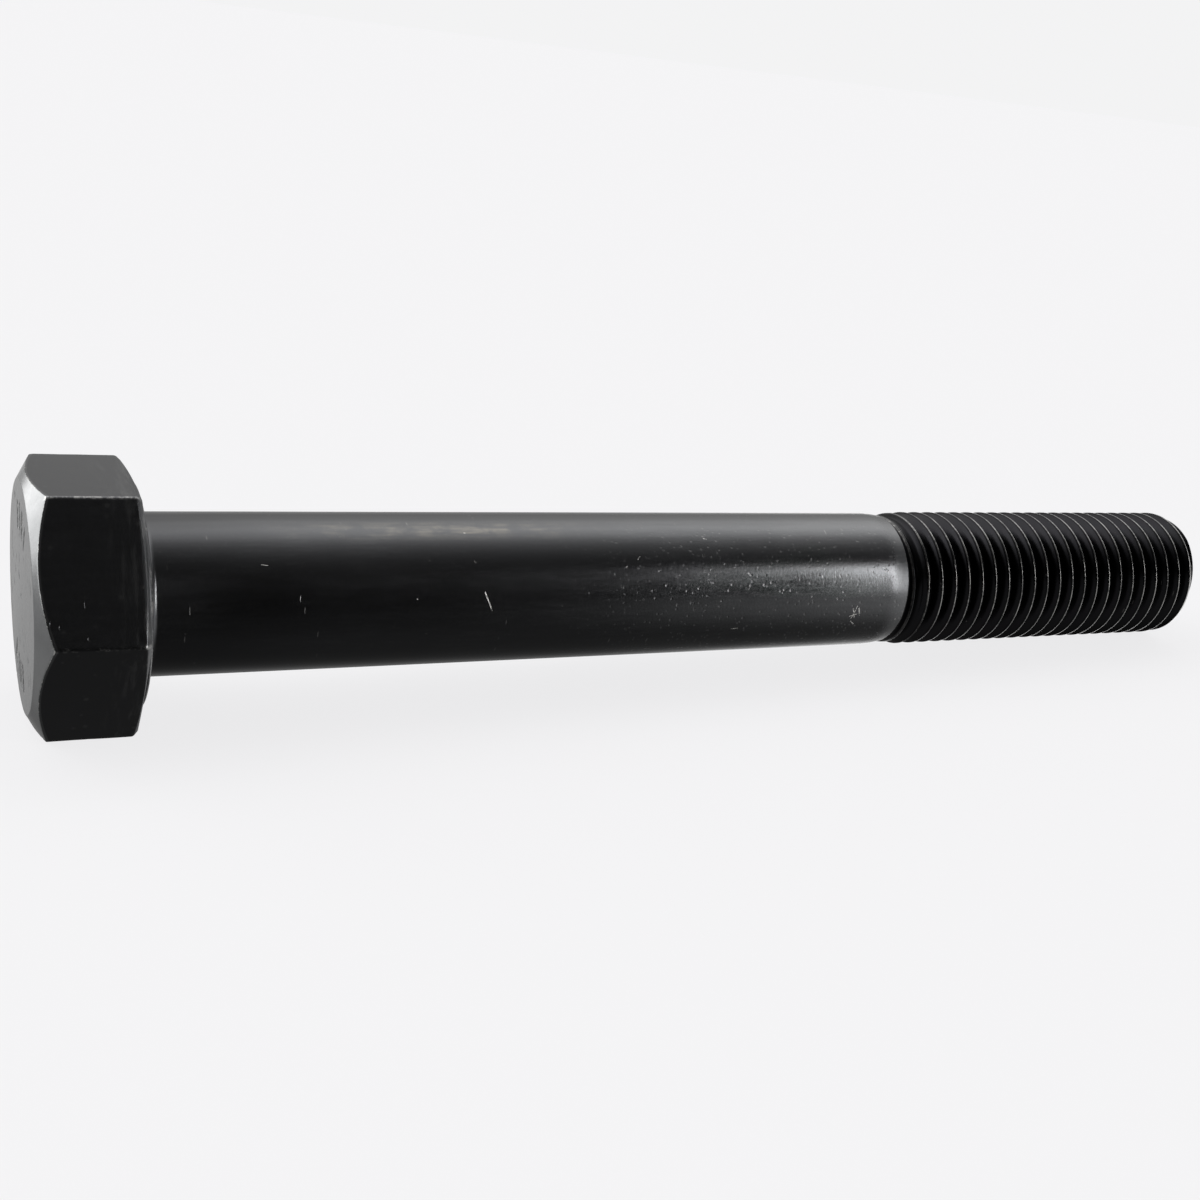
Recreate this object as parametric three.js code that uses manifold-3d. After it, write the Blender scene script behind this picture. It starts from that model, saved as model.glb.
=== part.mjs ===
// Hex bolt M16 x 130, partly threaded, in blackened steel.
//
// A real hex bolt is one piece: the head is upset from the bar, and the thread is rolled
// into it. So this file makes one mesh, joined from the shapes that the forging has.
//
// Millimetres. The origin is the centre of the flat on the outer end of the head. +X runs
// along the shank to the tip of the thread. Two of the six wrench flats face +Z and -Z.

import * as THREE from "three";
import {
  mergeGeometries,
  mergeVertices,
} from "three/addons/utils/BufferGeometryUtils.js";
import Module from "manifold-3d";

// Sizes of the whole bolt.
const length = 130; // under the head to the tip
const headHeight = 9.8; // washer face included
const acrossFlats = 23.3;
const shankDiameter = 15.62;
const threadDiameter = 15.92; // over the crests
const pitch = 2;
const threadLength = 44; // full thread and the tip

// Head.
const cornerRadius = 0.8; // along the six long corners
const topChamferAngle = THREE.MathUtils.degToRad(30);
const topFlatShare = 0.93; // diameter of the round flat, as a share of acrossFlats
const washerFaceShare = 0.93; // diameter of the washer face, as a share of acrossFlats
const washerFaceHeight = 0.5;
const underBevel = 0.7; // takes the points off the six corners beside the washer face
const filletRadius = 0.8; // where the shank meets the washer face

// Thread. The flanks stand at 60 degrees to each other.
const flankAngle = THREE.MathUtils.degToRad(30);
const crestWidth = pitch / 8;
const threadDepth = 0.6134 * pitch;
const crestPhase = 0.14; // pitches from the tip to the crest straight above the axis
const tubeWall = 0.6; // of the tube that the thread is made as, below its roots
const tipChamfer = 1.5; // length along the axis
const tipDepth = 0.6; // how far the chamfer brings the tip in from the crests

// Run-out, where the shank ends and the thread fades in.
const shankBevelLength = 1.8;
const shankBevelDepth = 0.2;
const runOutLength = 1.5 * pitch;
const runOutDepth = 0.3 * threadDepth; // depth of the first groove below the shank's bevel

// Facets. The thread and the shank share theirs, so their edges line up.
const sides = 36;
const headSides = 72;
const filletSteps = 4;

const shankRadius = shankDiameter / 2;
const crestRadius = threadDiameter / 2;
const rootRadius = crestRadius - threadDepth;
const flankLength = threadDepth * Math.tan(flankAngle);
const bevelRadius = shankRadius - shankBevelDepth;
const tipX = headHeight + length;
const threadX = tipX - threadLength - pitch; // where the shank's bevel ends
const headCornerRadius = acrossFlats / 2 / Math.cos(Math.PI / 6);

const wasm = await Module();
wasm.setup();

// A closed geometry as a solid that can be joined and cut.
function solidOf(geometry) {
  const bare = geometry.clone();
  bare.deleteAttribute("normal");
  bare.deleteAttribute("uv");
  const merged = mergeVertices(bare, 1e-4);
  const mesh = new wasm.Mesh({
    numProp: 3,
    vertProperties: merged.getAttribute("position").array,
    triVerts: new Uint32Array(merged.index.array),
    tolerance: 1e-3,
  });
  mesh.merge(); // joins points that rounding has put a hair apart
  return new wasm.Manifold(mesh);
}

// A solid as a geometry again.
function geometryOf(solid) {
  const mesh = solid.getMesh();
  const geometry = new THREE.BufferGeometry();
  const positions = new THREE.BufferAttribute(mesh.vertProperties, 3);
  geometry.setAttribute("position", positions);
  geometry.setIndex(new THREE.BufferAttribute(mesh.triVerts, 1));
  geometry.computeVertexNormals();
  return geometry;
}

// A shape turned about the X axis. Each point of the profile is [x, radius], and the
// profile runs towards +X, from the axis out and back to it.
function turned(profile, count) {
  const points = profile.map(([x, radius]) => new THREE.Vector2(radius, x));
  return new THREE.LatheGeometry(points, count).rotateZ(-Math.PI / 2);
}

// The regular hexagon of the head with its six corners rounded, and corners on +Y and -Y.
function hexagonShape() {
  const shape = new THREE.Shape();
  const setBack = cornerRadius * Math.tan(Math.PI / 6);
  const corner = (i) => {
    const angle = (i * Math.PI) / 3 + Math.PI / 2;
    const direction = new THREE.Vector2(Math.cos(angle), Math.sin(angle));
    return direction.multiplyScalar(headCornerRadius);
  };
  for (let i = 0; i < 6; i += 1) {
    const here = corner(i);
    const before = corner(i - 1).sub(here).setLength(setBack).add(here);
    const after = corner(i + 1).sub(here).setLength(setBack).add(here);
    if (i === 0) shape.moveTo(before.x, before.y);
    else shape.lineTo(before.x, before.y);
    shape.quadraticCurveTo(here.x, here.y, after.x, after.y);
  }
  shape.closePath();
  return shape;
}

// The head: a hexagon whose corners are cut by one cone at the outer end and, much less,
// by another beside the washer face.
function head() {
  const prism = new THREE.ExtrudeGeometry(hexagonShape(), {
    depth: headHeight - washerFaceHeight,
    bevelEnabled: false,
    curveSegments: 3,
  });
  prism.rotateY(Math.PI / 2);
  const flatRadius = (topFlatShare * acrossFlats) / 2;
  const outerRadius = headCornerRadius + 1;
  const coneLength = (outerRadius - flatRadius) * Math.tan(topChamferAngle);
  const underX = headHeight - washerFaceHeight;
  const envelope = turned(
    [
      [0, 0],
      [0, flatRadius],
      [coneLength, outerRadius],
      [underX - underBevel - 1, outerRadius],
      [underX, headCornerRadius - underBevel],
      [underX, 0],
    ],
    headSides,
  );
  return solidOf(prism).intersect(solidOf(envelope));
}

// The washer face, the fillet and the plain shank down to its bevel.
function washerFaceAndShank() {
  const washerRadius = (washerFaceShare * acrossFlats) / 2;
  const profile = [
    [headHeight / 2, 0],
    [headHeight / 2, washerRadius],
    [headHeight, washerRadius],
  ];
  for (let i = 0; i <= filletSteps; i += 1) {
    const angle = ((i / filletSteps) * Math.PI) / 2;
    const along = filletRadius * (1 - Math.cos(angle));
    const out = filletRadius * (1 - Math.sin(angle));
    profile.push([headHeight + along, shankRadius + out]);
  }
  profile.push([threadX - shankBevelLength, shankRadius]);
  profile.push([threadX, bevelRadius]);
  profile.push([threadX, 0]);
  return solidOf(turned(profile, sides));
}

// The core inside the thread, thicker where the grooves run out against the shank.
function threadCore() {
  const coreRadius = rootRadius - tubeWall / 2;
  const profile = [
    [threadX - pitch, 0],
    [threadX - pitch, bevelRadius - runOutDepth],
    [threadX, bevelRadius - runOutDepth],
    [threadX + runOutLength, coreRadius],
    [tipX, coreRadius],
    [tipX, 0],
  ];
  return solidOf(turned(profile, sides));
}

// One pitch of the thread as [x, radius] points: the root, a flank, the crest. The other
// flank falls to the next pitch's first point.
function pitchProfile(x) {
  const rootWidth = pitch - crestWidth - 2 * flankLength;
  const crestX = x + rootWidth + flankLength;
  return [
    [x, rootRadius],
    [x + rootWidth, rootRadius],
    [crestX, crestRadius],
    [crestX + crestWidth, crestRadius],
  ];
}

// The flat wall that closes one pitch of the tube in the half-plane above the X axis. It
// faces -Y where side is 1 and +Y where side is -1.
function seamWall(x, side) {
  const outline = [
    ...pitchProfile(x),
    [x + pitch, rootRadius],
    [x + pitch, rootRadius - tubeWall],
    [x, rootRadius - tubeWall],
  ];
  const points = outline.map(([along, radius]) => new THREE.Vector2(along, side * radius));
  const wall = new THREE.ShapeGeometry(new THREE.Shape(points));
  return wall.rotateX((side * Math.PI) / 2);
}

// The thread as a tube with too much at both ends. Its profile is turned about X, and each
// section of the turn is pushed along X by its share of the pitch. After a whole turn the
// profile has moved by one pitch and meets itself, which makes a right-hand helix.
function threadTube() {
  const turns = Math.ceil(threadLength / pitch) + 3;
  const end = tipX + crestPhase * pitch + crestWidth / 2 + flankLength + pitch;
  const start = end - turns * pitch;
  const outer = [];
  const inner = [];
  for (let turn = 0; turn < turns; turn += 1) {
    outer.push(...pitchProfile(start + turn * pitch));
    inner.unshift([start + turn * pitch, rootRadius - tubeWall]);
  }
  outer.push([end, rootRadius]);
  inner.unshift([end, rootRadius - tubeWall]);
  const profile = [...outer, ...inner, outer[0]];
  const tube = turned(profile, sides);
  const position = tube.getAttribute("position");
  for (let i = 0; i < position.count; i += 1) {
    const section = Math.floor(i / profile.length);
    position.setX(i, position.getX(i) + (section / sides) * pitch);
  }
  return solidOf(mergeGeometries([tube, seamWall(start, -1), seamWall(end, 1)]));
}

// The space that the thread may fill: it opens out over the run-out, and the tip closes it.
function threadEnvelope() {
  const profile = [
    [threadX - pitch / 2, 0],
    [threadX - pitch / 2, bevelRadius - 0.1],
    [threadX, bevelRadius - 0.1],
    [threadX + runOutLength, crestRadius],
    [tipX - tipChamfer, crestRadius],
    [tipX, crestRadius - tipDepth],
    [tipX, 0],
  ];
  return solidOf(turned(profile, sides));
}

function thread() {
  return threadCore().add(threadTube()).intersect(threadEnvelope());
}

function blackenedSteel() {
  return new THREE.MeshStandardMaterial({
    color: 0x2a2a2c,
    roughness: 0.42,
    metalness: 0.85,
  });
}

const body = head().add(washerFaceAndShank()).add(thread());
const hexBolt = new THREE.Mesh(geometryOf(body), blackenedSteel());
hexBolt.name = "hex_bolt";

const part = new THREE.Group();
part.add(hexBolt);

export default part;
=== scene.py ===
"""Blackened hex bolt, M16 x 130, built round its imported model, with a pale studio to show it in.

The bolt lies along +X: x is 0 on the outer face of the head and 139.8 mm at the tip. Angles
about the bolt are counted from +Y towards +Z, and two of the wrench flats face +Z and -Z.
"""

import math

import bmesh
import bpy
from mathutils import Matrix, Vector, noise


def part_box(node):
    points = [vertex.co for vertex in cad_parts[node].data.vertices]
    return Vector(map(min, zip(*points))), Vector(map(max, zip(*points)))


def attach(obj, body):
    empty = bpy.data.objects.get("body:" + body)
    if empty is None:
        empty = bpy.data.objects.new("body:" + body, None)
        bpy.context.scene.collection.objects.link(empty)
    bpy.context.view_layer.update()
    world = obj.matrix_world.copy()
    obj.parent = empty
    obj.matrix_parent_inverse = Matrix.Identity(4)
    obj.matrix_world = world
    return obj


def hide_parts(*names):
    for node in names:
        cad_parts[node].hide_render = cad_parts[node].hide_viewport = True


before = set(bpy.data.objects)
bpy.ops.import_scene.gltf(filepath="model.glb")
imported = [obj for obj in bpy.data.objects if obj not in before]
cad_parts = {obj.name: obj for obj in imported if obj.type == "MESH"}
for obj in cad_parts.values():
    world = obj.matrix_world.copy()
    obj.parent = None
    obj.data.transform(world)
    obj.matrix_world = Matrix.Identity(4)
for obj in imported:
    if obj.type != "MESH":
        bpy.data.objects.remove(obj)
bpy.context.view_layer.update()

bl_info = {
    "name": "Hex bolt M16 x 130",
    "version": (1, 0, 0),
    "blender": (4, 5, 0),
    "location": "3D View > Sidebar > Hex bolt",
    "description": "Models a blackened hex bolt and a pale studio to show it in",
    "category": "Add Mesh",
}

MM = 0.001
LOW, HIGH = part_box("hex_bolt")

# The hexagon repeats itself after this angle.
SECTOR = math.pi / 3

# How finely the bolt is turned.
HEAD_STEPS = 144
THREAD_STEPS = 120
ARC_CHORDS = 3

# Straight parts of the section through the head and the shank, in order, as numbers of cuts.
FACE_CUTS = 34
CONE_CUTS = 7
FLAT_CUTS = 26
EDGE_CUTS = 3
UNDER_CUTS = 6
STEP_CUTS = 2
RIM_CUTS = 2
BEARING_CUTS = 6
SHANK_CUTS = 84
BEVEL_CUTS = 5
WALL_CUTS = 1

# Raised dashes on the face of the head: first and last radius in mm, and for each dash its
# first step round the head and its width in steps.
DASH_RADII = (6.3, 8.7)
DASH_PLACES = ((28, 3), (34, 2), (39, 4), (46, 2), (100, 3), (106, 3), (112, 2), (117, 4))
DASH_SLOPE = 0.09 * MM
DASH_HEIGHT = 0.07 * MM
DASH_WEAR = 0.75

# How far a corner of the hexagon stands out past the flats, as a share of the width of the head.
CORNER_SHARE = 0.0725

# Wear of the six long corners of the head, and how far from a corner it starts to fade and
# ends, along the bolt's girth.
CORNER_WEAR = 0.44
CORNER_WEAR_FADE = (0.12 * MM, 0.42 * MM)

# The thread, in pitches: the flat on a crest, how far past the tip a crest would be straight
# above the axis, and how long the grooves take to get deep beside the shank.
CREST_LAND = 0.125
CREST_PHASE = 0.14
RUN_OUT_PITCHES = 1.5

# The step down from the shank's bevel to the thread, how far the first groove and the first
# crest are under the bevel, and what is missing from the middle of the first crests.
WALL_DEPTH = 0.12 * MM
FIRST_GROOVE = 0.37 * MM
FIRST_CREST = 0.1 * MM
UNFILLED = 0.075 * MM

FLANK_ANGLE = math.radians(30)
TIP_WEAR = 0.45

# Rings of the end face, as (radius, how far it lies inside the tip) in mm.
TIP_RINGS = (
    (6.62, 0.0),
    (6.45, 0.015),
    (6.0, 0.06),
    (5.0, 0.12),
    (3.6, 0.16),
    (2.2, 0.18),
    (0.9, 0.185),
    (0.0, 0.185),
)

# Points closer than this become one.
WELD = 2e-6

# Scratches on the shank in mm: where one starts along the bolt and around it, how far it runs
# along and around, and its width. Around is counted from the top towards the front.
SCRATCHES = (
    (41.8, -10.0, 0.8, -1.9, 0.07),
    (86.4, -13.0, 0.5, -1.2, 0.08),
    (86.9, -12.7, -0.4, -1.6, 0.07),
    (87.2, -13.0, 0.3, -0.9, 0.09),
    (86.2, -14.0, 0.9, 0.3, 0.07),
    (86.6, -14.7, 0.6, -0.5, 0.08),
    (20.0, -6.9, 0.6, -0.1, 0.05),
    (59.0, -6.9, 0.3, 0.3, 0.05),
    (67.5, -4.4, 0.4, -0.1, 0.05),
    (71.0, -15.2, 0.8, 0.1, 0.05),
    (55.0, 3.0, 1.2, 2.2, 0.07),
    (26.0, 14.0, -0.8, 2.0, 0.08),
    (78.0, 20.0, 1.8, 0.8, 0.06),
)


def millimetres(name, description, default, **limits):
    """A length that the panel shows in the scene's own unit."""
    return bpy.props.FloatProperty(
        name=name,
        description=description,
        default=default * MM,
        unit="LENGTH",
        subtype="DISTANCE",
        precision=5,
        **limits,
    )


def share(name, description, default):
    """A plain number from 0 to 1."""
    return bpy.props.FloatProperty(
        name=name, description=description, default=default, min=0.0, max=1.0
    )


def colour(name, description, default):
    """A colour without alpha."""
    return bpy.props.FloatVectorProperty(
        name=name, description=description, default=default, subtype="COLOR", size=3, min=0, max=1
    )


class BoltSizes(bpy.types.PropertyGroup):
    """Sizes of the bolt."""

    across_flats: millimetres("Across flats", "Width of the head", (HIGH.z - LOW.z) / MM)
    head_height: millimetres("Head height", "With the washer face", 9.8)
    tip: millimetres("Overall length", "From the face of the head to the tip", HIGH.x / MM)
    top_flat: millimetres("Top flat", "Radius of the round flat on the head", 10.83)
    crown: millimetres("Crown", "How far the face of the head bulges over its rim", 0.1)
    chamfer_depth: millimetres("Chamfer", "Depth of the chamfer at the six corners", 1.37)
    corner: millimetres("Corner", "Rounding of the six corners at the outer face", 0.42)
    washer_radius: millimetres("Washer face", "Radius of the ring under the head", 10.83)
    washer_height: millimetres("Washer face height", "How far that ring stands out", 0.5)
    fillet: millimetres("Fillet", "Between washer face and shank", 0.8)
    shank_radius: millimetres("Shank", "Radius of the plain shank", 7.81)
    bevel_start: millimetres("Bevel start", "Where the shank starts to narrow", 92.0)
    bevel_end: millimetres("Bevel end", "Where the thread starts", 93.8)
    bevel_radius: millimetres("Bevel radius", "Radius of the shank at the thread", 7.61)
    crest_radius: millimetres("Crest", "Radius of the thread over its crests", 7.96)
    root_radius: millimetres("Root", "Radius of the thread in its grooves", 6.733)
    pitch: millimetres("Pitch", "From one crest to the next", 2.0)
    tip_chamfer: millimetres("Tip chamfer", "Length of the chamfer along the bolt", 1.5)
    tip_depth: millimetres("Tip depth", "How far the chamfer comes in", 0.6)


class BoltFinish(bpy.types.PropertyGroup):
    """Colours and gloss of the blackened steel."""

    oxide: colour("Oxide", "Black oxide on shank and head", (0.038, 0.0385, 0.040))
    oxide_light: colour("Thin oxide", "Where the oxide is thin", (0.105, 0.107, 0.108))
    bare: colour("Bare steel", "Rubbed edges and nicks", (0.50, 0.49, 0.47))
    gloss: share("Roughness", "Of the plain shank", 0.21)


class StudioLook(bpy.types.PropertyGroup):
    """The floor and the lights."""

    floor: colour("Floor", "Pale floor", (0.855, 0.852, 0.862))
    background: colour("Background", "Behind the floor", (0.896, 0.896, 0.901))
    key: bpy.props.FloatProperty(
        name="Window right", description="Light from the right", default=1.0, min=0
    )
    lens: bpy.props.FloatProperty(
        name="Lens", description="Focal length in mm on 36 mm film", default=46.425, min=1
    )


# Shape ---------------------------------------------------------------------------------


def smooth_step(start, end, value):
    """0 before start, 1 after end, and a soft rise between."""
    t = min(1.0, max(0.0, (value - start) / (end - start)))
    return t * t * (3 - 2 * t)


def soft_least(a, b, softness):
    """The smaller of two sizes, with a rounded change from one to the other."""
    h = max(softness - abs(a - b), 0.0) / softness
    return min(a, b) - h * h * softness / 4


def soft_most(a, b, softness):
    """The larger of two sizes, with a rounded change from one to the other."""
    return -soft_least(-a, -b, softness)


def crowded(angle):
    """An even angle about the bolt moved towards the nearest corner of the hexagon."""
    off = (angle + SECTOR / 2) % SECTOR - SECTOR / 2
    t = abs(off) / (SECTOR / 2)
    moved = math.copysign((0.1 * t + 0.9 * t**3) * SECTOR / 2, off)
    return angle - off + moved


def off_corner(angle):
    """How far an angle about the bolt is from the nearest corner of the hexagon."""
    return abs((angle + SECTOR / 2) % SECTOR - SECTOR / 2)


def hexagon_radius(angle, apothem, corner):
    """How far the hexagon's outline is from the axis, its corners rounded."""
    off = off_corner(angle)
    centre = (apothem - corner) / math.cos(SECTOR / 2)
    reach = math.atan2(corner * 0.5, centre + corner * math.cos(SECTOR / 2))
    if off < reach:
        return centre * math.cos(off) + math.sqrt(corner**2 - (centre * math.sin(off)) ** 2)
    return apothem / math.cos(SECTOR / 2 - off)


def eased_section(corners, cuts):
    """A section as (point, wear) pairs, the same number whatever its sizes.

    Each corner is (x, radius, rounding, wear). A straight is cut closer near its ends, and
    the middle of a rounding has the full wear.
    """
    arcs = []
    for i, (x, radius, rounding, wear) in enumerate(corners):
        here = Vector((x, radius))
        if i in (0, len(corners) - 1):
            arcs.append([(here, 0.0)])
            continue
        to_last = (Vector(corners[i - 1][:2]) - here).normalized()
        to_next = (Vector(corners[i + 1][:2]) - here).normalized()
        half = to_last.angle(to_next) / 2
        set_back = rounding / math.tan(half)
        middle = here + (to_last + to_next).normalized() * (rounding / math.sin(half))
        first = here + to_last * set_back - middle
        last = here + to_next * set_back - middle
        arc = []
        for k in range(ARC_CHORDS + 1):
            t = k / ARC_CHORDS
            spoke = first.lerp(last, t).normalized() * rounding
            arc.append((middle + spoke, wear * 4 * t * (1 - t)))
        arcs.append(arc)
    points = list(arcs[0])
    for arc, count in zip(arcs[1:], cuts):
        start, end = points[-1][0], arc[0][0]
        for k in range(1, count):
            t = k / count
            t = 0.45 * t + 0.55 * (1 - math.cos(math.pi * t)) / 2
            points.append((start.lerp(end, t), 0.0))
        points.extend(arc)
    return points


def body_section(sizes, angle):
    """The section from the middle of the head's face to the start of the thread. The edge
    beside the washer face is bevelled a little, and more at the corners of the hexagon."""
    apothem = sizes.across_flats / 2
    flat = sizes.top_flat
    side = hexagon_radius(angle, apothem, sizes.corner)
    under_side = hexagon_radius(angle, apothem, sizes.corner * 1.3)
    corner_side = hexagon_radius(0.0, apothem, sizes.corner)
    slope = sizes.chamfer_depth / (corner_side - flat)
    cone_x = (side - flat) * slope
    cornerness = (side - apothem) / (sizes.across_flats * CORNER_SHARE)
    under_x = sizes.head_height - sizes.washer_height
    bevel = (0.12 + 0.36 * cornerness) * MM
    corners = (
        (0, 0, 0, 0),
        # The rim of the round flat, and the outer end of the cone.
        (0, flat, 0.22 * MM, 0.5),
        (cone_x, side, 0.16 * MM, 0.7),
        # Both sides of the bevel under the head.
        (under_x - 0.9 * bevel, side, (0.10 + 0.30 * cornerness) * MM, 0.3),
        (under_x, under_side - bevel, (0.10 + 0.12 * cornerness) * MM, 0.2),
        # The foot and the rim of the washer face, and the fillet.
        (under_x, sizes.washer_radius, 0.07 * MM, 0),
        (sizes.head_height, sizes.washer_radius, 0.34 * MM, 0.5),
        (sizes.head_height, sizes.shank_radius, sizes.fillet, 0),
        # The long soft bend into the shank's bevel, and the step down to the thread.
        (sizes.bevel_start, sizes.shank_radius, 16 * MM, 0.05),
        (sizes.bevel_end - 0.02 * MM, sizes.bevel_radius, 0.05 * MM, 0.7),
        (sizes.bevel_end, sizes.bevel_radius - WALL_DEPTH, 0, 0),
    )
    cuts = (
        FACE_CUTS,
        CONE_CUTS,
        FLAT_CUTS,
        EDGE_CUTS,
        UNDER_CUTS,
        STEP_CUTS,
        RIM_CUTS,
        BEARING_CUTS,
        SHANK_CUTS,
        BEVEL_CUTS,
        WALL_CUTS,
    )
    return eased_section(corners, cuts)


def corner_wear(angle, radius, sizes):
    """Wear along the six long corners of the head."""
    off = off_corner(angle) * radius
    outside = smooth_step(1.04, 1.10, 2 * radius / sizes.across_flats)
    return CORNER_WEAR * outside * (1 - smooth_step(*CORNER_WEAR_FADE, off))


def turn_body(bm, sizes):
    """Head, washer face and shank. A straight row of points is spun into a sleeve, and each
    of its rings is then brought to its place on the bolt."""
    rows = len(body_section(sizes, 0.0))
    points = [bm.verts.new((i, 1, 0)) for i in range(rows)]
    edges = [bm.edges.new(pair) for pair in zip(points, points[1:])]
    bmesh.ops.spin(
        bm,
        geom=points + edges,
        cent=(0, 0, 0),
        axis=(1, 0, 0),
        angle=math.tau,
        steps=HEAD_STEPS,
        use_merge=True,
    )
    worn = bm.verts.layers.float["worn"]
    sections = {}
    end = sizes.head_height
    for vert in bm.verts:
        row = round(vert.co.x)
        step = round(math.atan2(vert.co.z, vert.co.y) / math.tau * HEAD_STEPS) % HEAD_STEPS
        even = step * math.tau / HEAD_STEPS
        tight = crowded(even)
        if step not in sections:
            sections[step] = body_section(sizes, tight)
        (x, radius), edge = sections[step][row]
        if row <= FACE_CUTS:
            x -= sizes.crown * (1 - (radius / sizes.top_flat) ** 2)
        crowd = smooth_step(0.55 * sizes.top_flat, 0.98 * sizes.top_flat, radius)
        crowd *= 1 - smooth_step(end, end + 12 * MM, x)
        angle = even + (tight - even) * crowd
        vert.co = x, radius * math.cos(angle), radius * math.sin(angle)
        vert[worn] = max(edge, corner_wear(angle, radius, sizes))
    bmesh.ops.remove_doubles(bm, verts=bm.verts, dist=0.5e-6)


def raise_dashes(bm):
    """Short raised dashes on the face of the head, such as a forging die leaves."""
    pads = []
    for face in bm.faces:
        centre = face.calc_center_median()
        radius = math.hypot(centre.y, centre.z) / MM
        if centre.x > 0 or not DASH_RADII[0] < radius < DASH_RADII[1]:
            continue
        step = math.atan2(centre.z, centre.y) % math.tau / math.tau * HEAD_STEPS
        if any(first < step < first + width for first, width in DASH_PLACES):
            pads.append(face)
    worn = bm.verts.layers.float["worn"]
    bmesh.ops.inset_region(
        bm, faces=pads, thickness=DASH_SLOPE, depth=DASH_HEIGHT, use_even_offset=True
    )
    for vert in {v for face in pads for v in face.verts}:
        vert[worn] = DASH_WEAR


def pitch_profile(sizes):
    """One pitch of the thread as (share of the pitch, radius, wear) from root to root. Root
    and crest are rounded by a few chords."""
    depth = sizes.crest_radius - sizes.root_radius
    flank = depth * math.tan(FLANK_ANGLE) / sizes.pitch
    land = CREST_LAND
    root = (1 - land - 2 * flank) / 2
    low, high = sizes.root_radius, sizes.crest_radius
    return (
        (0.0, low, 0.0),
        (root * 0.62, low + 0.012 * MM, 0.0),
        (root + flank * 0.09, low + depth * 0.125, 0.0),
        (root + flank * 0.5, low + depth * 0.5, 0.0),
        (root + flank * 0.86, low + depth * 0.86, 0.0),
        (root + flank * 0.965, low + depth * 0.95, 0.45),
        (root + flank + land * 0.16, high - 0.004 * MM, 1.0),
        (0.5, high, 0.85),
        (1 - root - flank - land * 0.16, high - 0.004 * MM, 1.0),
        (1 - root - flank * 0.965, low + depth * 0.95, 0.45),
        (1 - root - flank * 0.86, low + depth * 0.86, 0.0),
        (1 - root - flank * 0.5, low + depth * 0.5, 0.0),
        (1 - root - flank * 0.09, low + depth * 0.125, 0.0),
        (1 - root * 0.62, low + 0.012 * MM, 0.0),
    )


def turn_thread(bm, sizes):
    """The thread. Its whole profile is spun once about the bolt while it moves along by one
    pitch, so it meets itself a pitch further on, which makes a right-hand helix."""
    one = pitch_profile(sizes)
    crest_x = sizes.tip + CREST_PHASE * sizes.pitch
    turns = math.ceil((sizes.tip - sizes.bevel_end) / sizes.pitch) + 3
    start = crest_x - (turns - 1.5) * sizes.pitch
    worn = bm.verts.layers.float["worn"]
    points = []
    for turn in range(turns):
        for along, radius, crest in one:
            x = start + (turn + along) * sizes.pitch
            points.append(bm.verts.new((x, 0, radius)))
            points[-1][worn] = crest
    edges = [bm.edges.new(pair) for pair in zip(points, points[1:])]
    old = set(bm.verts) - set(points)
    bmesh.ops.spin(
        bm,
        geom=points + edges,
        cent=(0, 0, 0),
        axis=(1, 0, 0),
        dvec=(sizes.pitch / THREAD_STEPS, 0, 0),
        angle=math.tau,
        steps=THREAD_STEPS,
    )
    thread = [v for v in bm.verts if v not in old]
    bmesh.ops.remove_doubles(bm, verts=thread, dist=WELD)
    thread = [v for v in bm.verts if v not in old]
    for vert in thread:
        shape_thread_point(vert, sizes, worn)
    for x, ahead in ((sizes.bevel_end + 0.02 * MM, -1), (sizes.tip, 1)):
        faces = {f for v in bm.verts if v not in old for f in v.link_faces}
        edges = {e for f in faces for e in f.edges}
        verts = {v for f in faces for v in f.verts}
        bmesh.ops.bisect_plane(
            bm,
            geom=list(faces | edges | verts),
            dist=1e-7,
            plane_co=(x, 0, 0),
            plane_no=(ahead, 0, 0),
            clear_outer=True,
        )


def shape_thread_point(vert, sizes, worn):
    """Brings one point of the endless thread inside the tip's chamfer, and fills the groove
    where the thread runs out against the shank."""
    x = vert.co.x
    radius = math.hypot(vert.co.y, vert.co.z)
    old_radius = radius
    height = (radius - sizes.root_radius) / (sizes.crest_radius - sizes.root_radius)
    past = (x - sizes.bevel_end) / sizes.pitch
    if height > 0.97:
        unfilled = 1 - smooth_step(0.8, 3.2, past)
        middle = 1 - abs(vert[worn] - 0.85) / 0.15
        radius -= UNFILLED * unfilled * max(0.0, middle)
    open_out = smooth_step(0, RUN_OUT_PITCHES, past)
    roof = sizes.bevel_radius - FIRST_CREST
    roof += (sizes.crest_radius - roof) * min(1.0, max(0.0, past / RUN_OUT_PITCHES))
    into_tip = (x - (sizes.tip - sizes.tip_chamfer)) / sizes.tip_chamfer
    roof -= sizes.tip_depth * max(0.0, into_tip)
    core = sizes.bevel_radius - FIRST_GROOVE
    core += (sizes.root_radius - core) * open_out
    radius = soft_least(radius, roof, 0.06 * MM)
    radius = soft_most(radius, core, 0.1 * MM)
    seat = sizes.bevel_radius - WALL_DEPTH
    radius = seat + (radius - seat) * smooth_step(0.01, 0.24, past)
    if into_tip > 0:
        vert[worn] *= 1 - 0.1 * smooth_step(0.1 * MM, 0.4 * MM, old_radius - radius)
    scale = radius / old_radius
    vert.co.y *= scale
    vert.co.z *= scale


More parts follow.
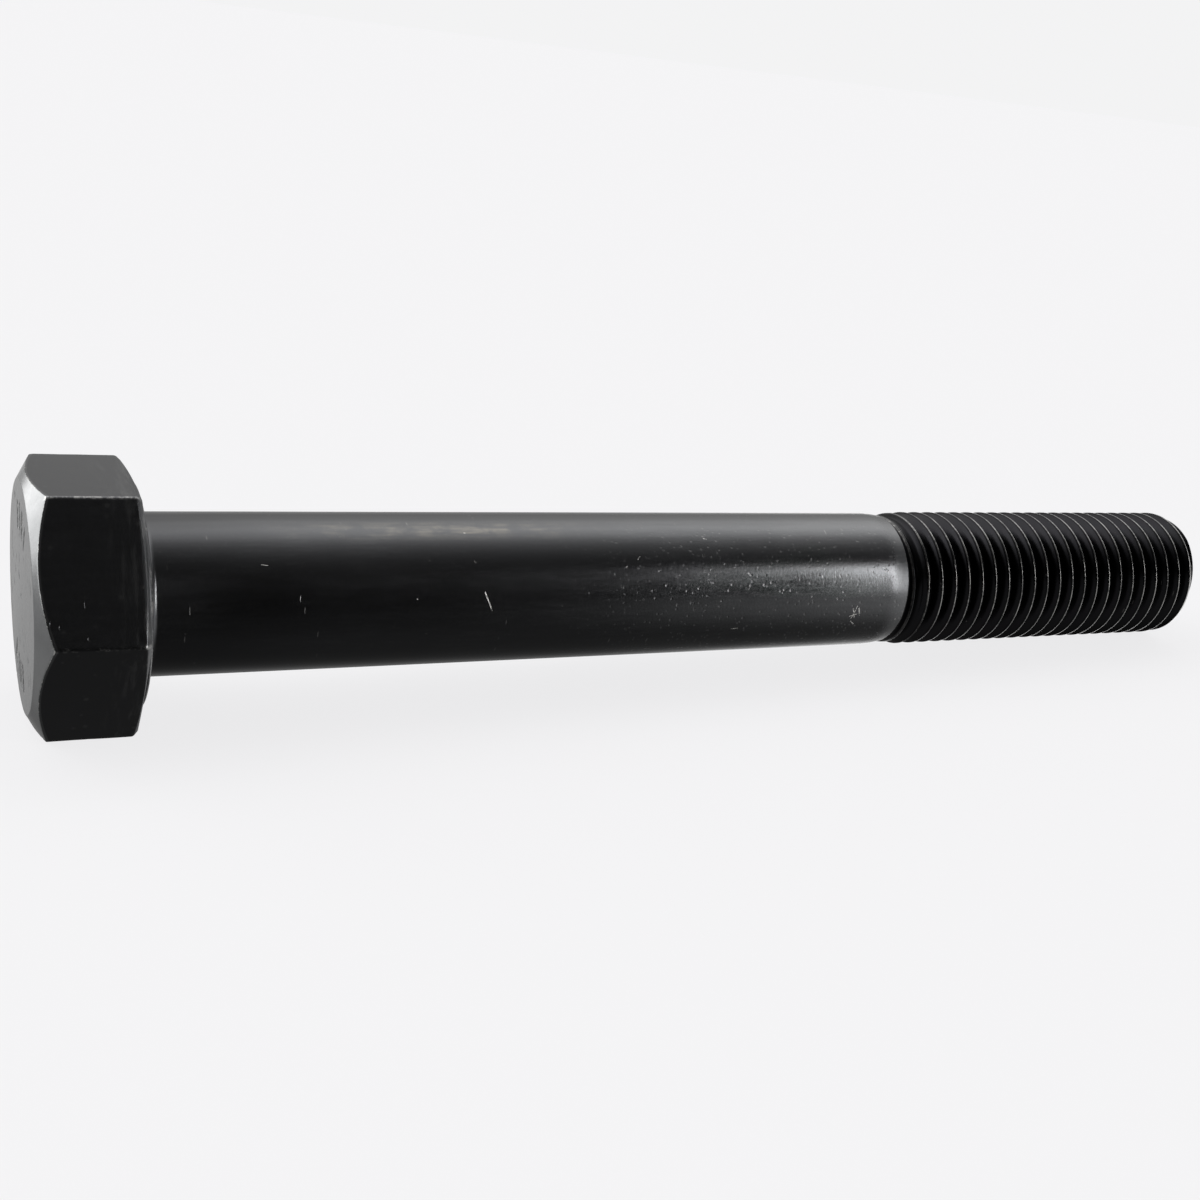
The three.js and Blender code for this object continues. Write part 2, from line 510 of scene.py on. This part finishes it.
def close_tip(bm, sizes):
    """The end face: the cut rim of the thread is drawn in to the axis ring by ring."""
    worn = bm.verts.layers.float["worn"]
    at_tip = sizes.tip - 1e-6
    rim = [e for e in bm.edges if e.is_boundary and min(v.co.x for v in e.verts) > at_tip]
    for vert in {v for e in rim for v in e.verts}:
        vert[worn] = TIP_WEAR
    for radius, sink in TIP_RINGS:
        made = bmesh.ops.extrude_edge_only(bm, edges=rim)["geom"]
        rim = [g for g in made if isinstance(g, bmesh.types.BMEdge) and g.is_boundary]
        for vert in {v for e in rim for v in e.verts}:
            now = math.hypot(vert.co.y, vert.co.z)
            vert.co.y *= radius * MM / now
            vert.co.z *= radius * MM / now
            vert.co.x = sizes.tip - sink * MM
            vert[worn] = 0.0
    bmesh.ops.remove_doubles(bm, verts=list({v for e in rim for v in e.verts}), dist=WELD)


def join_thread(bm, sizes):
    """Closes the narrow gap between the shank's bevel and the first groove."""
    gap = [
        e
        for e in bm.edges
        if e.is_boundary and abs(e.verts[0].co.x - sizes.bevel_end) < 0.1 * MM
    ]
    bmesh.ops.bridge_loops(bm, edges=gap)


def forge_unevenness(bm, sizes):
    """The small waves and dents that upsetting the head and handling the bolt leave. Their
    heights and places are in mm."""
    head = sizes.head_height
    for vert in bm.verts:
        co = vert.co
        radius = math.hypot(co.y, co.z)
        place = co / MM
        if co.x < head - 0.7 * MM:
            wave = 0.022 * noise.noise(place * 0.21 + Vector((3, 1, 7)))
            wave += 0.010 * noise.noise(place * 0.62)
            dent = noise.noise(place * 1.15 + Vector((0, 9, 4)))
            wave -= 0.05 * smooth_step(0.42, 0.62, dent)
            out = Vector((0, co.y, co.z)).normalized()
            if co.x <= 0.02 * MM:
                out = Vector((-1, 0, 0))
                wave *= 0.8 * (1 - smooth_step(10.4 * MM, 11.2 * MM, radius))
            vert.co += out * wave * MM
        elif co.x < sizes.bevel_start - 2 * MM and radius > 1 * MM:
            wave = 0.012 * noise.noise(Vector((place.x * 0.06, place.y * 0.2, place.z * 0.2)))
            wave += 0.003 * noise.noise(Vector((place.x * 0.35, place.y * 0.5, place.z * 0.5)))
            grow = smooth_step(head, head + 3 * MM, co.x)
            vert.co += Vector((0, co.y, co.z)).normalized() * wave * grow * MM


def model_bolt(sizes):
    """The whole bolt as one closed mesh object."""
    bm = bmesh.new()
    bm.verts.layers.float.new("worn")
    turn_body(bm, sizes)
    raise_dashes(bm)
    forge_unevenness(bm, sizes)
    turn_thread(bm, sizes)
    close_tip(bm, sizes)
    join_thread(bm, sizes)
    bmesh.ops.recalc_face_normals(bm, faces=bm.faces)
    open_edges = sum(not e.is_manifold for e in bm.edges)
    if open_edges:
        raise RuntimeError(f"the bolt's skin has {open_edges} open edges")
    if bm.calc_volume(signed=True) < 0:
        bmesh.ops.reverse_faces(bm, faces=bm.faces)
    for face in bm.faces:
        face.smooth = True
    mesh = bpy.data.meshes.new("bolt")
    bm.to_mesh(mesh)
    bm.free()
    bolt = bpy.data.objects.new("bolt", mesh)
    bpy.context.scene.collection.objects.link(bolt)
    return bolt


# Finish --------------------------------------------------------------------------------


class Amount:
    """A number that varies over the surface. Sums and products of it add Math nodes."""

    def __init__(self, finish, socket):
        self.finish = finish
        self.socket = socket

    def __add__(self, other):
        return self.finish.math("ADD", self, other)

    def __sub__(self, other):
        return self.finish.math("SUBTRACT", self, other)

    def __rsub__(self, other):
        return self.finish.math("SUBTRACT", other, self)

    def __mul__(self, other):
        return self.finish.math("MULTIPLY", self, other)

    def __truediv__(self, other):
        return self.finish.math("DIVIDE", self, other)

    def __pow__(self, other):
        return self.finish.math("POWER", self, other)

    __radd__ = __add__
    __rmul__ = __mul__

    def least(self, other):
        return self.finish.math("MINIMUM", self, other)

    def most(self, other):
        return self.finish.math("MAXIMUM", self, other)

    def rise(self, start, end, low=0.0, high=1.0):
        """low up to start, high from end, and a soft change between."""
        return self.finish.node(
            "ShaderNodeMapRange",
            {"interpolation_type": "SMOOTHSTEP"},
            self,
            start,
            end,
            low,
            high,
        )

    def band(self, start, end, soft):
        """1 between start and end, 0 outside."""
        return self.rise(start - soft, start) * self.rise(end, end + soft, 1.0, 0.0)


class Finish:
    """The nodes of a material or a world, added one by one."""

    def __init__(self, owner):
        owner.use_nodes = True
        self.tree = owner.node_tree
        self.tree.nodes.clear()

    def feed(self, socket, value):
        """Links an Amount to a socket, or sets a constant on it."""
        if isinstance(value, Amount):
            self.tree.links.new(value.socket, socket)
        else:
            socket.default_value = value

    def node(self, kind, settings, *values, output=0, **named):
        """Adds a node. Settings are set first, then its inputs in order, and by identifier
        or name. Gives the chosen output, or all of them where output is None."""
        node = self.tree.nodes.new(kind)
        for key, value in settings.items():
            if key == "stops":
                place_stops(node.color_ramp, value)
            else:
                setattr(node, key, value)
        for index, value in enumerate(values):
            self.feed(node.inputs[index], value)
        for key, value in named.items():
            same = [socket for socket in node.inputs if socket.identifier == key]
            self.feed(same[0] if same else node.inputs[key.replace("_", " ")], value)
        outputs = [Amount(self, socket) for socket in node.outputs]
        return outputs[output] if outputs and output is not None else outputs

    def math(self, operation, *values):
        """A Math node on numbers and Amounts."""
        return self.node("ShaderNodeMath", {"operation": operation}, *values)

    def blend(self, amount, low, high):
        """A colour between two colours."""
        return self.node(
            "ShaderNodeMix",
            {"data_type": "RGBA"},
            Factor_Float=amount,
            A_Color=low,
            B_Color=high,
            output=2,
        )

    def noise(self, place, scale, detail, roughness):
        """Cloudy noise around 0.5."""
        return self.node(
            "ShaderNodeTexNoise",
            {"noise_dimensions": "3D"},
            Vector=place,
            Scale=scale,
            Detail=detail,
            Roughness=roughness,
        )

    def cells(self, place, scale):
        """Distance to the nearest of many scattered points."""
        return self.node(
            "ShaderNodeTexVoronoi",
            {"voronoi_dimensions": "3D", "feature": "F1"},
            Vector=place,
            Scale=scale,
        )


def place_stops(ramp, stops):
    """Gives a ramp its grey stops, each a place from 0 to 1 and a brightness, in order."""
    ramp.interpolation = "EASE"
    ramp.elements[0].position, ramp.elements[1].position = 0.0, 1.0
    for place, _ in stops[1:-1]:
        ramp.elements.new(place)
    for element, (place, bright) in zip(ramp.elements, stops):
        if abs(element.position - place) > 1e-5:
            raise RuntimeError("the ramp's stops are out of order")
        element.color = (bright,) * 3 + (1.0,)


# Colours of the finish that its settings leave alone.
BROWN_OXIDE = (0.086, 0.080, 0.070, 1.0)
SMUDGED_OXIDE = (0.11, 0.11, 0.11, 1.0)
# Painted shade: the dark colour that stands in for the head's shade on the shank beside it.
HEAD_SHADE_PAINT = (0.016, 0.016, 0.017, 1.0)
THREAD_OXIDE = (0.0055, 0.0055, 0.006, 1.0)
PITTED_OXIDE = (0.21, 0.205, 0.195, 1.0)


def scratches(x, around, wobble):
    """1 in the middle of each scratch, 0 beside it. The wobble, in mm, frays its edges."""
    deepest = None
    for start, side, run, rise, width in SCRATCHES:
        along, across = x - start, around - side
        part = ((along * run + across * rise) / (run**2 + rise**2)).most(0.0).least(1.0)
        off_x, off_side = along - part * run, across - part * rise
        gap = (off_x * off_x + off_side * off_side) ** 0.5 + wobble
        line = gap.rise(width * 0.4, width, 1.0, 0.0)
        deepest = line if deepest is None else deepest.most(line)
    return deepest


def blackened_steel(sizes, look):
    """Thin black oxide on forged and rolled steel, rubbed bright on its edges."""
    material = bpy.data.materials.new("blackened_steel")
    steel = Finish(material)
    node = steel.node
    oxide, thin, bare = (tuple(c) + (1.0,) for c in (look.oxide, look.oxide_light, look.bare))

    # Places in mm: as they are, unrolled from the bolt, and drawn out along it and around it.
    coords = node("ShaderNodeTexCoord", {}, output=3)
    place = node("ShaderNodeMapping", {"vector_type": "POINT"}, Vector=coords, Scale=(1000,) * 3)
    x, y, z = node("ShaderNodeSeparateXYZ", {}, place, output=None)
    radius = (y * y + z * z) ** 0.5
    around = steel.math("ARCTAN2", y, z) * (sizes.shank_radius / MM)
    unrolled = node("ShaderNodeCombineXYZ", {}, x, around, radius)
    skin = node("ShaderNodeCombineXYZ", {}, x, around, 0.0)
    point = {"vector_type": "POINT"}
    drawn = node("ShaderNodeMapping", point, Vector=unrolled, Scale=(0.12, 1, 1))
    ringed = node("ShaderNodeMapping", point, Vector=unrolled, Scale=(1.6, 0.25, 1))
    worn = node("ShaderNodeAttribute", {"attribute_name": "worn"}, output=2)

    # Where on the bolt a point is. The cone goes in by 1 mm for every 1.73 mm of radius.
    head_end = sizes.head_height / MM
    bevel_start, thread_start = sizes.bevel_start / MM, sizes.bevel_end / MM
    on_head = x.rise(head_end + 0.4, head_end + 0.9, 1.0, 0.0)
    on_thread = x.rise(thread_start - 0.1, thread_start + 0.1)
    on_shank = (1 - on_head) * (1 - on_thread)
    on_face = x.rise(0.02, 0.12, 1.0, 0.0)
    on_cone = (radius - x * 1.73).rise(10.5, 10.66) * x.rise(1.7, 1.8, 1.0, 0.0)
    on_bevel = x.rise(bevel_start - 0.8, bevel_start + 0.6) * (1 - on_thread)
    under_head = x.band(head_end - 0.75, head_end + 0.3, 0.3)

    # Clouds and specks.
    cloud = steel.noise(place, 0.10, 3.0, 0.55)
    patch = steel.noise(place, 0.42, 4.0, 0.6)
    grain = steel.noise(place, 3.2, 3.0, 0.6)
    fine = steel.noise(place, 9.0, 2.0, 0.5)
    smear = steel.noise(drawn, 2.6, 4.0, 0.65)

    # Nicks and pits: few on most of the bolt, and many towards the thread.
    shank_end = x.rise(48.0, 82.0) * on_shank
    nick = steel.cells(unrolled, 0.42).rise(0.03, 0.065, 1.0, 0.0) * patch.rise(0.47, 0.55)
    tick = steel.cells(ringed, 0.75).rise(0.04, 0.09, 1.0, 0.0) * cloud.rise(0.47, 0.55)
    pit = steel.cells(skin, 1.5).rise(0.10, 0.30, 1.0, 0.0) * grain.rise(0.44, 0.54)
    pit *= (0.08 + x.rise(46.0, 66.0) * 0.92) * on_shank
    speck = fine.rise(0.66, 0.74) * grain.rise(0.5, 0.6)
    marks = (nick * 0.5).most(tick * 0.3).most(speck * 0.25) * (1 - on_thread * 0.7)
    marks *= 1 - on_head * 0.85

    # Scratches from other bolts: a few long ones, and a scuff near the thread.
    scratch = scratches(x, around, (fine - 0.5) * 0.05) * (on_shank * grain.rise(0.36, 0.5))

    # Rubbed edges and crests, broken up along their length.
    broken = (patch * 0.5 + grain * 0.5).rise(0.42, 0.58)
    edge_rub = (worn * (0.25 + broken * 0.75)).rise(0.22, 0.9) * (1 - on_thread)
    crest_rub = worn.rise(0.76, 0.96) * (0.04 + broken * 0.17) * on_thread

    # The thin oxide of the face and its cone, one rubbed patch along the top of the shank, and
    # smudges and dust; and painted shade, a darker colour on the shank beside the head.
    shine = (on_face * 0.75).most(on_cone * 0.9) * (0.6 + patch * 0.6)
    lain = x.band(33.0, 44.0, 14.0) * around.band(-3.2, -2.6, 1.5)
    lain *= smear.rise(0.30, 0.75) * patch.rise(0.36, 0.6)
    smudge = steel.noise(ringed, 0.9, 4.0, 0.65).rise(0.48, 0.68) * x.rise(5.0, 8.8) * on_head
    dust = steel.cells(place, 0.8).rise(0.08, 0.24, 1.0, 0.0) * patch.rise(0.48, 0.58)
    smudge = smudge.most(dust * on_head * (1 - on_face) * 0.8)
    # Painted shade: the shank is darkened beside the head, where the head shades it.
    painted_head_shade = x.rise(head_end, head_end + 18.0, 1.0, 0.0) * on_shank
    thinness = (
        shine
        + shank_end * 0.10
        + on_shank * (smear - 0.5) * 0.30
        + on_shank * (cloud - 0.5) * 0.20
        + on_head * (1 - on_face) * (patch - 0.5) * 0.16
    )
    thinness = thinness.most(0.0).least(1.0)

    base = steel.blend(thinness, oxide, thin)
    base = steel.blend(lain * 0.7, base, BROWN_OXIDE)
    base = steel.blend(smudge * 0.5, base, SMUDGED_OXIDE)
    # The painted shade beside the head.
    base = steel.blend(painted_head_shade * 0.5, base, HEAD_SHADE_PAINT)
    base = steel.blend(on_thread, base, THREAD_OXIDE)
    base = steel.blend(marks.most(pit * 0.13), base, PITTED_OXIDE)
    base = steel.blend((edge_rub * 0.6).most(crest_rub).most(scratch * 0.7), base, bare)

    rough = (
        look.gloss
        + (grain - 0.5) * 0.10
        + (cloud - 0.5) * 0.06
        + (smear - 0.5) * 0.10
        + on_head * 0.02
        + under_head * 0.22
        + on_bevel * 0.10
        + scratch * 0.25
        + edge_rub * 0.10
        - crest_rub * 0.3
    )
    rough = rough.most(0.15).least(0.7)

    height = (
        grain * (0.006 + shank_end * 0.007)
        + fine * (0.002 + shank_end * 0.003)
        + smear * on_shank * 0.003
        + patch * on_head * 0.012
        - nick * 0.03
        - tick * 0.02
        - pit * 0.024
        - scratch * 0.012
    )
    bump = node("ShaderNodeBump", {}, Strength=0.55, Distance=0.001, Height=height)
    shader = node(
        "ShaderNodeBsdfPrincipled",
        {},
        Base_Color=base,
        Metallic=1.0,
        Roughness=rough,
        Normal=bump,
    )
    node("ShaderNodeOutputMaterial", {}, shader)
    return material


class HEXBOLT_OT_bolt(bpy.types.Operator):
    """Model the bolt in one piece and give it its blackened finish"""

    bl_idname = "hexbolt.bolt"
    bl_label = "Hex bolt"
    bl_options = {"REGISTER", "UNDO"}

    def execute(self, context):
        sizes, look = context.scene.bolt_sizes, context.scene.bolt_finish
        bolt = model_bolt(sizes)
        bolt.data.materials.append(blackened_steel(sizes, look))
        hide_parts("hex_bolt")
        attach(bolt, "root")
        return {"FINISHED"}


# Studio --------------------------------------------------------------------------------

# Half the floor's width in metres, and the share of the floor that takes light and shadow. The
# rest of it glows.
FLOOR_HALF = 4.0
FLOOR_MATT = 0.06

# The bolt rests on the lower flat of the head and on the thread near the tip: where the first
# of these is, how far apart they are, and the gap that is left under the head.
REST_X = 9 * MM
REST_RUN = 129.3 * MM
FLOOR_GAP = 0.02 * MM

CAMERA_PLACE = (-12.935 * MM, -144.196 * MM, 54.303 * MM)
CAMERA_DEGREES = (69.1838, -8.6069, -27.7168)
CAMERA_SHIFT = (-0.0946, 0.0440)
FILM_WIDTH = 36


def pale_floor(look):
    """A wide pale sheet that glows a little, so shadows on it stay faint."""
    material = bpy.data.materials.new("pale_floor")
    node = Finish(material).node
    tone = tuple(look.floor) + (1.0,)
    glow = node("ShaderNodeEmission", {}, Color=tone, Strength=1.0)
    matt = node("ShaderNodeBsdfDiffuse", {}, Color=tone)
    mixed = node("ShaderNodeMixShader", {}, FLOOR_MATT, glow, matt)
    node("ShaderNodeOutputMaterial", {}, mixed)
    return material


# Light that the air gives from each direction, by its angle over the bolt: degrees from the
# horizon behind it (+Y) up and over to the horizon in front, and below the horizon beyond 180.
TENT = (
    (0, 0.45),
    (14, 0.46),
    (30, 1.05),
    (46, 2.7),
    (62, 4.4),
    (74, 3.6),
    (86, 1.8),
    (98, 0.95),
    (108, 0.55),
    (118, 0.32),
    (130, 0.19),
    (145, 0.10),
    (165, 0.06),
    (185, 0.08),
    (205, 0.14),
    (240, 0.22),
    (290, 0.14),
    (325, 0.25),
    (345, 0.65),
    (360, 0.45),
)
TENT_PEAK = 5.0


# Where the left window is, as a direction.
LEFT_WINDOW = (-0.84, 0.53, 0.10)


def studio_air(look):
    """A pale background, and the soft light of a tent that is open to a window either side."""
    world = bpy.data.worlds.new("studio_air")
    air = Finish(world)
    node = air.node
    towards = node("ShaderNodeTexCoord", {}, output=0)
    x, y, z = node("ShaderNodeSeparateXYZ", {}, towards, output=None)

    # The tent, by the angle over the bolt.
    over = air.math("FRACT", air.math("ARCTAN2", z, y) / math.tau + 1.0)
    stops = [(angle / 360, light / TENT_PEAK) for angle, light in TENT]
    tent = node("ShaderNodeValToRGB", {"stops": stops}, over) * TENT_PEAK

    # The windows. The right one is small, and its angles sideways and upwards are in degrees.
    aim = Vector(LEFT_WINDOW).normalized()
    near_left = x * aim.x + y * aim.y + z * aim.z
    left = near_left.rise(0.72, 0.92) * 5.2 * z.rise(-0.075, -0.005)
    sideways = air.math("ARCTAN2", x, y * -1.0) * math.degrees(1.0)
    upwards = air.math("ARCSINE", z) * math.degrees(1.0)
    right = sideways.band(41.0, 47.5, 2.5) * upwards.band(5.0, 25.0, 13.0) * (24.0 * look.key)

    # What the floor sends back from below.
    floor_left = x.rise(-0.25, -0.8) * z.rise(0.05, -0.08) * 0.8
    floor_right = x.rise(0.36, 0.75) * z.rise(0.02, -0.08) * z.rise(-0.85, -0.35) * 2.2

    light = tent + left + right + floor_left + floor_right
    lit = node("ShaderNodeBackground", {}, Color=(1.0, 1.0, 1.0, 1.0), Strength=light)
    seen = node("ShaderNodeBackground", {}, Color=tuple(look.background) + (1.0,), Strength=1.0)
    camera = node("ShaderNodeLightPath", {}, output=0)
    mixed = node("ShaderNodeMixShader", {}, camera, lit, seen)
    node("ShaderNodeOutputWorld", {}, mixed)
    bpy.context.scene.world = world


class HEXBOLT_OT_stage(bpy.types.Operator):
    """Lay the pale floor, fill the air with soft light and set up the camera"""

    bl_idname = "hexbolt.stage"
    bl_label = "Studio"
    bl_options = {"REGISTER", "UNDO"}

    def execute(self, context):
        scene = context.scene
        look, sizes = scene.studio_look, scene.bolt_sizes

        drop = sizes.across_flats / 2 - sizes.crest_radius
        tilt = Matrix.Rotation(-math.atan2(drop, REST_RUN), 4, "Y")
        bm = bmesh.new()
        bmesh.ops.create_grid(bm, x_segments=8, y_segments=8, size=FLOOR_HALF)
        under_head = (REST_X, 0, -sizes.across_flats / 2 - FLOOR_GAP)
        lay = Matrix.Translation(under_head) @ tilt
        bmesh.ops.transform(bm, matrix=lay, verts=bm.verts)
        mesh = bpy.data.meshes.new("floor")
        bm.to_mesh(mesh)
        bm.free()
        floor = bpy.data.objects.new("floor", mesh)
        mesh.materials.append(pale_floor(look))
        scene.collection.objects.link(floor)
        floor.visible_glossy = False

        studio_air(look)
        data = bpy.data.cameras.new("camera")
        data.lens = look.lens
        data.sensor_width = FILM_WIDTH
        data.shift_x, data.shift_y = CAMERA_SHIFT
        data.clip_start = 0.01
        camera = bpy.data.objects.new("camera", data)
        camera.location = CAMERA_PLACE
        camera.rotation_euler = [math.radians(angle) for angle in CAMERA_DEGREES]
        scene.collection.objects.link(camera)
        scene.camera = camera
        scene.view_settings.view_transform = "Standard"
        return {"FINISHED"}


class HEXBOLT_PT_panel(bpy.types.Panel):
    """The bolt and its studio in the 3D view's sidebar"""

    bl_idname = "HEXBOLT_PT_panel"
    bl_label = "Hex bolt"
    bl_space_type = "VIEW_3D"
    bl_region_type = "UI"
    bl_category = "Hex bolt"

    def draw(self, context):
        scene = context.scene
        for operator, groups in (
            (HEXBOLT_OT_bolt, (scene.bolt_sizes, scene.bolt_finish)),
            (HEXBOLT_OT_stage, (scene.studio_look,)),
        ):
            box = self.layout.box()
            for group in groups:
                for name in group.__annotations__:
                    box.prop(group, name)
            box.operator(operator.bl_idname)


CLASSES = (
    BoltSizes,
    BoltFinish,
    StudioLook,
    HEXBOLT_OT_bolt,
    HEXBOLT_OT_stage,
    HEXBOLT_PT_panel,
)


def register():
    for cls in CLASSES:
        bpy.utils.register_class(cls)
    bpy.types.Scene.bolt_sizes = bpy.props.PointerProperty(type=BoltSizes)
    bpy.types.Scene.bolt_finish = bpy.props.PointerProperty(type=BoltFinish)
    bpy.types.Scene.studio_look = bpy.props.PointerProperty(type=StudioLook)


def unregister():
    del bpy.types.Scene.studio_look
    del bpy.types.Scene.bolt_finish
    del bpy.types.Scene.bolt_sizes
    for cls in reversed(CLASSES):
        bpy.utils.unregister_class(cls)


def main():
    register()
    bpy.ops.hexbolt.bolt()
    bpy.ops.hexbolt.stage()


if __name__ == "__main__":
    main()
